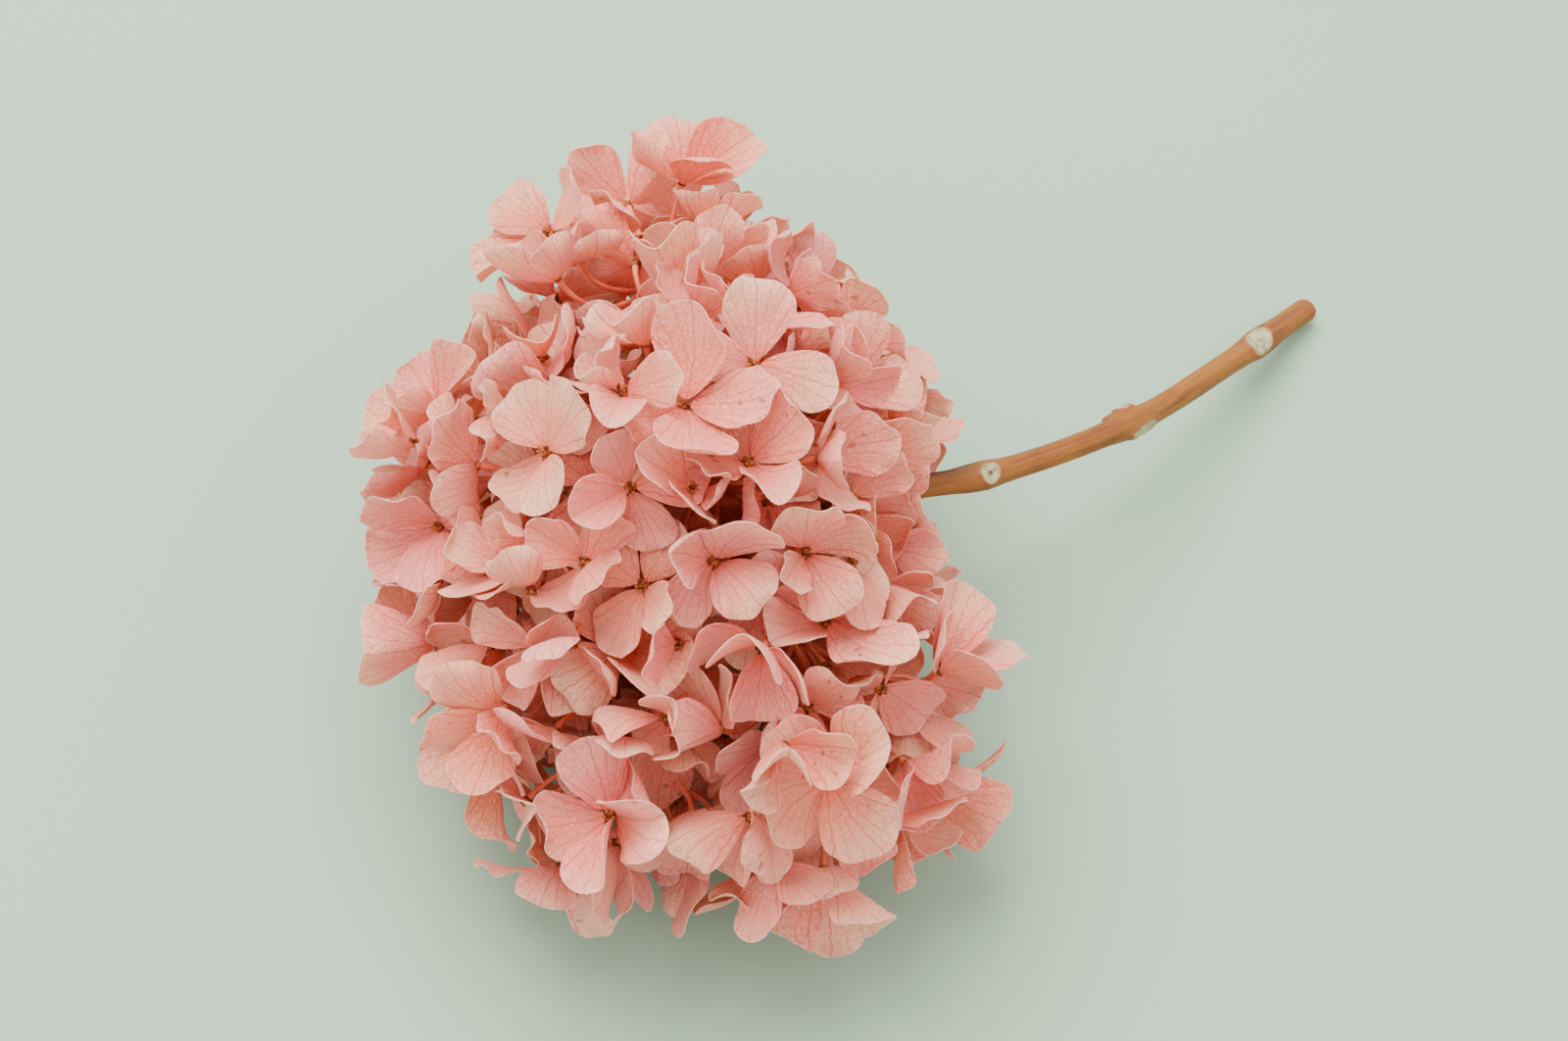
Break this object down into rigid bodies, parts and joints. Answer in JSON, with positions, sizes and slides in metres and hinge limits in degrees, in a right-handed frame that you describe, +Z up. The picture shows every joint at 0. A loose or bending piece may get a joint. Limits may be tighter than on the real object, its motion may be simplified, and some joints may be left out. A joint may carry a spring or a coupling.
{
  "type": "cut hydrangea",
  "caption": "Preserved mop-head hydrangea bloom on a short bare woody stem, lying on its side; decoration for tables, arrangements and wreaths.",
  "frame": {"origin": "on the surface that the flower lies on, under the middle of its bounding box", "axes": "+X from the head towards the cut end of the stem, +Z up from the surface, +Y to the side that the stem bends towards"},
  "size_m": [0.2174, 0.1826, 0.1163],
  "materials": {
    "sepal": "thin papery petal, soft matt, pale salmon pink with darker pink veins",
    "stalk": "matt reddish pink stalk",
    "button": "small dry brown bud, matt",
    "bark": "smooth golden brown bark, satin, with pale leaf scars"
  },
  "bodies": {
    "root": {"stem": "bark", "ray_back": "stalk", "ray_right": "stalk", "ray_left": "stalk", "ray_top": "stalk", "ray_crown": "stalk", "ray_front_left": "stalk", "ray_front_right": "stalk", "ray_under": "stalk", "floret_01": "sepal", "floret_02": "sepal", "floret_03": "sepal", "floret_04": "sepal", "floret_05": "sepal", "floret_06": "sepal", "floret_07": "sepal", "floret_08": "sepal", "floret_09": "sepal", "floret_10": "sepal", "floret_11": "sepal", "floret_12": "sepal", "floret_13": "sepal", "floret_14": "sepal", "floret_15": "sepal", "floret_16": "sepal", "floret_17": "sepal", "floret_18": "sepal", "floret_19": "sepal", "floret_20": "sepal", "floret_21": "sepal", "floret_22": "sepal", "floret_23": "sepal", "floret_24": "sepal", "floret_25": "sepal", "floret_26": "sepal", "floret_27": "sepal", "floret_28": "sepal", "floret_29": "sepal", "floret_30": "sepal", "floret_31": "sepal", "floret_32": "sepal", "floret_33": "sepal", "floret_34": "sepal", "floret_35": "sepal", "floret_36": "sepal", "floret_37": "sepal", "floret_38": "sepal", "floret_39": "sepal", "floret_40": "sepal", "floret_41": "sepal", "floret_42": "sepal", "floret_43": "sepal", "floret_44": "sepal", "floret_45": "sepal", "floret_46": "sepal", "floret_47": "sepal", "floret_48": "sepal", "floret_49": "sepal", "floret_50": "sepal", "floret_51": "sepal"}
  },
  "joints": []
}
